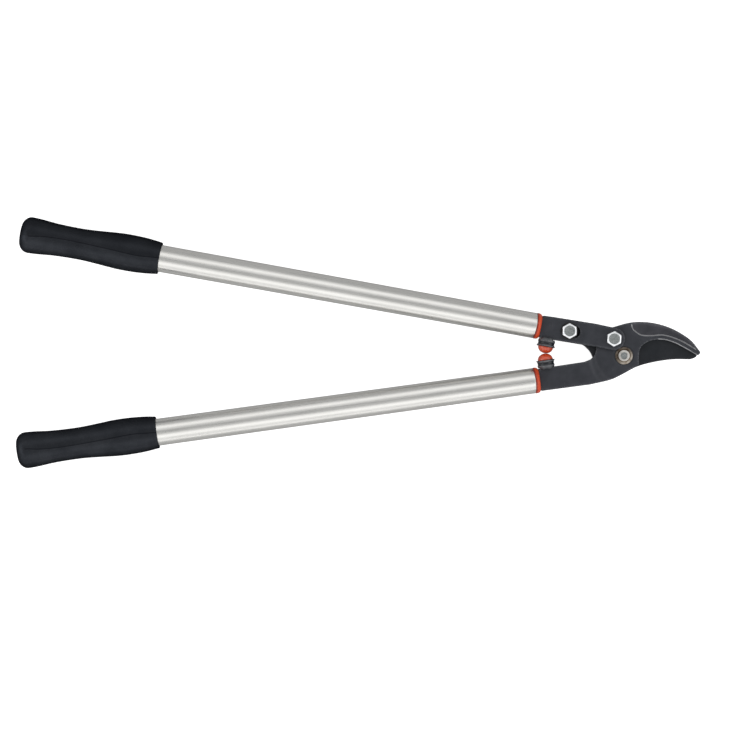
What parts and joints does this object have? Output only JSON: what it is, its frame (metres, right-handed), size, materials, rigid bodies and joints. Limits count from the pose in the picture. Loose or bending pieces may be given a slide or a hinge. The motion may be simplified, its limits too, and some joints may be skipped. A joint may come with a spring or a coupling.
{
  "type": "bypass loppers",
  "caption": "Two-handed bypass loppers: long tubular handles, rubber grips and a compound lever head that drives a curved blade past a hook jaw.",
  "frame": {"origin": "on the axis of the main pivot, in the rear end face of the pivot bolt, which lies in the plane that the tool rests on", "axes": "+X from the grips to the jaw tips along the centre line between the handles, +Y from the lower (hook) handle to the upper (lever) handle, +Z from the rear of the head to its front"},
  "size_m": [0.7986, 0.2932, 0.0399],
  "materials": {
    "forged_steel": "dark charcoal coating over forged steel, satin, with ground bevels that show brighter steel",
    "blade_steel": "near-black low-friction coating over hardened steel, ground bright along the cutting bevel",
    "zinc_steel": "bright zinc plating",
    "black_oxide": "black oxide on steel, lightly greased",
    "bronze": "dull bronze, slightly stained",
    "tube_aluminium": "satin anodised, drawn lengthwise",
    "orange_plastic": "moulded red-orange plastic, satin",
    "orange_rubber": "moulded red-orange elastomer, satin",
    "grip_rubber": "near-black moulded rubber, fine satin grain",
    "cup_rubber": "black moulded rubber, satin",
    "plug_nylon": "dark moulded nylon"
  },
  "bodies": {
    "hook_handle": {"hook_arm": "forged_steel", "pivot_bolt": "zinc_steel", "pivot_nut": "zinc_steel", "pivot_rear_washer": "zinc_steel", "pivot_front_washer": "bronze", "fulcrum_bolt": "zinc_steel", "lower_tube": "tube_aluminium", "lower_ferrule": "orange_plastic", "lower_tube_plug": "plug_nylon", "lower_grip": "grip_rubber", "lower_bumper_cup": "cup_rubber", "lower_bumper_dome": "orange_rubber", "lower_bumper_screw": "zinc_steel"},
    "lever_handle": {"lever_arm": "forged_steel", "fulcrum_bush": "bronze", "fulcrum_washer": "bronze", "upper_tube": "tube_aluminium", "upper_ferrule": "orange_plastic", "upper_tube_plug": "plug_nylon", "upper_grip": "grip_rubber", "upper_bumper_cup": "cup_rubber", "upper_bumper_dome": "orange_rubber", "upper_bumper_screw": "zinc_steel"},
    "blade": {"cutting_blade": "blade_steel", "blade_bush": "bronze", "drive_bolt": "zinc_steel", "drive_bolt_nut": "zinc_steel", "drive_rear_washer": "zinc_steel", "slide_bush": "black_oxide", "drive_washer": "black_oxide"}
  },
  "joints": [
    {"name": "lever_fulcrum", "type": "hinge", "parent": "hook_handle", "child": "lever_handle", "pos_m": [-0.0127, 0.0193, 0.022], "axis": [0, 0, -1], "range_deg": [0, 78]},
    {"name": "blade_pivot", "type": "hinge", "parent": "hook_handle", "child": "blade", "pos_m": [0, 0, 0.0113], "axis": [0, 0, -1], "range_deg": [0, 55.3]}
  ],
  "couplings": [
    {"joint": "blade_pivot", "follows": "lever_fulcrum", "ratio": 0.708}
  ]
}
